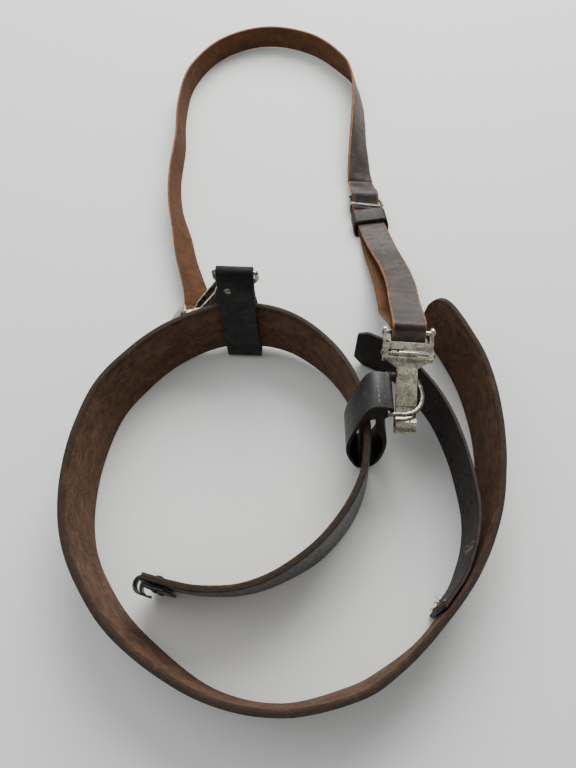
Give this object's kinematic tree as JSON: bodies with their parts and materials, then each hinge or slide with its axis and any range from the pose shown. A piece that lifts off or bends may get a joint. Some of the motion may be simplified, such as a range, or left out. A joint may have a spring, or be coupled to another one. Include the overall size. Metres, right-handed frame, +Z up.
{
  "type": "belt with shoulder strap",
  "caption": "Leather waist belt with a hook end and an inner sizing tongue, and a narrow shoulder strap clipped to two D rings by snap hooks.",
  "frame": {"origin": "the middle of the bounding box, on the table that the belt stands on", "axes": "+X to the right past the tongue, +Y from the belt towards the far end of the shoulder strap, +Z up"},
  "size_m": [0.2642, 0.5434, 0.077],
  "materials": {
    "belt_leather": "dark brown glossy grain outside, rough brown suede inside",
    "black_leather": "black smooth leather with worn edges",
    "strap_leather": "dark grain outside, brown flesh side, raw edges",
    "thread": "waxed twisted thread",
    "nickel": "worn nickel plate with speckles",
    "dark_steel": "blackened steel, rubbed at the edges"
  },
  "bodies": {
    "belt": {"belt_strap": "belt_leather", "belt_hook": "dark_steel", "belt_hook_tab": "belt_leather", "hook_rivet_lower": "dark_steel", "hook_rivet_upper": "dark_steel", "sizing_tongue": "black_leather", "tongue_thread": "thread", "back_loop": "black_leather", "back_loop_rivet": "dark_steel", "front_loop": "black_leather", "front_loop_rivet": "dark_steel"},
    "strap": {"shoulder_strap": "strap_leather"},
    "back_ring": {"back_ring": "nickel"},
    "front_ring": {"front_ring": "nickel"},
    "back_hook": {"back_hook_body": "nickel", "back_hook_strap_bar": "nickel", "back_hook_gate_pin": "nickel", "back_hook_spring": "nickel"},
    "front_hook": {"front_hook_body": "nickel", "front_hook_strap_bar": "nickel", "front_hook_gate_pin": "nickel", "front_hook_spring": "nickel"},
    "back_gate": {"back_hook_gate": "nickel"},
    "front_gate": {"front_hook_gate": "nickel"},
    "buckle": {"buckle_frame": "nickel"},
    "keeper": {"strap_keeper": "strap_leather"}
  },
  "joints": [
    {"name": "strap_lift", "type": "hinge", "parent": "belt", "child": "strap", "pos_m": [0.075, -0.105, 0.057], "axis": [0.7746, -0.6325, 0], "range_deg": [0, 3]},
    {"name": "back_ring_swing", "type": "hinge", "parent": "belt", "child": "back_ring", "pos_m": [-0.03177, -0.02194, 0.0734], "axis": [0.9992, -0.0396, 0], "range_deg": [-1.2, 1]},
    {"name": "front_ring_swing", "type": "hinge", "parent": "belt", "child": "front_ring", "pos_m": [0.06023, -0.0977, 0.058], "axis": [0.0176, -0.9998, 0], "range_deg": [-2, 1.5]},
    {"name": "back_hook_turn", "type": "hinge", "parent": "strap", "child": "back_hook", "pos_m": [-0.06531, -0.02429, 0.0117], "axis": [0.831, 0.1073, -0.5459], "range_deg": [-0.3, 0.4]},
    {"name": "front_hook_turn", "type": "hinge", "parent": "strap", "child": "front_hook", "pos_m": [0.07429, -0.06019, 0.0656], "axis": [-0.9977, 0.0674, 0], "range_deg": [-2, 0.5]},
    {"name": "back_gate_open", "type": "hinge", "parent": "back_hook", "child": "back_gate", "pos_m": [-0.05756, -0.02486, 0.0234], "axis": [0.831, 0.1073, -0.5459], "range_deg": [0, 0.5], "stiffness_Nm_per_rad": 0.02, "springref_deg": -20.05},
    {"name": "front_gate_open", "type": "hinge", "parent": "front_hook", "child": "front_gate", "pos_m": [0.07334, -0.07411, 0.06393], "axis": [-0.9977, 0.0674, 0], "range_deg": [0, 3], "stiffness_Nm_per_rad": 0.02, "springref_deg": -20.05},
    {"name": "buckle_tilt", "type": "hinge", "parent": "strap", "child": "buckle", "pos_m": [0.06089, 0.09521, 0.0038], "axis": [0.9903, -0.139, 0], "range_deg": [-10, 5]},
    {"name": "keeper_slide", "type": "slide", "parent": "strap", "child": "keeper", "axis": [0.16, -0.9871, 0], "range_m": [-0.001, 0.003]}
  ]
}
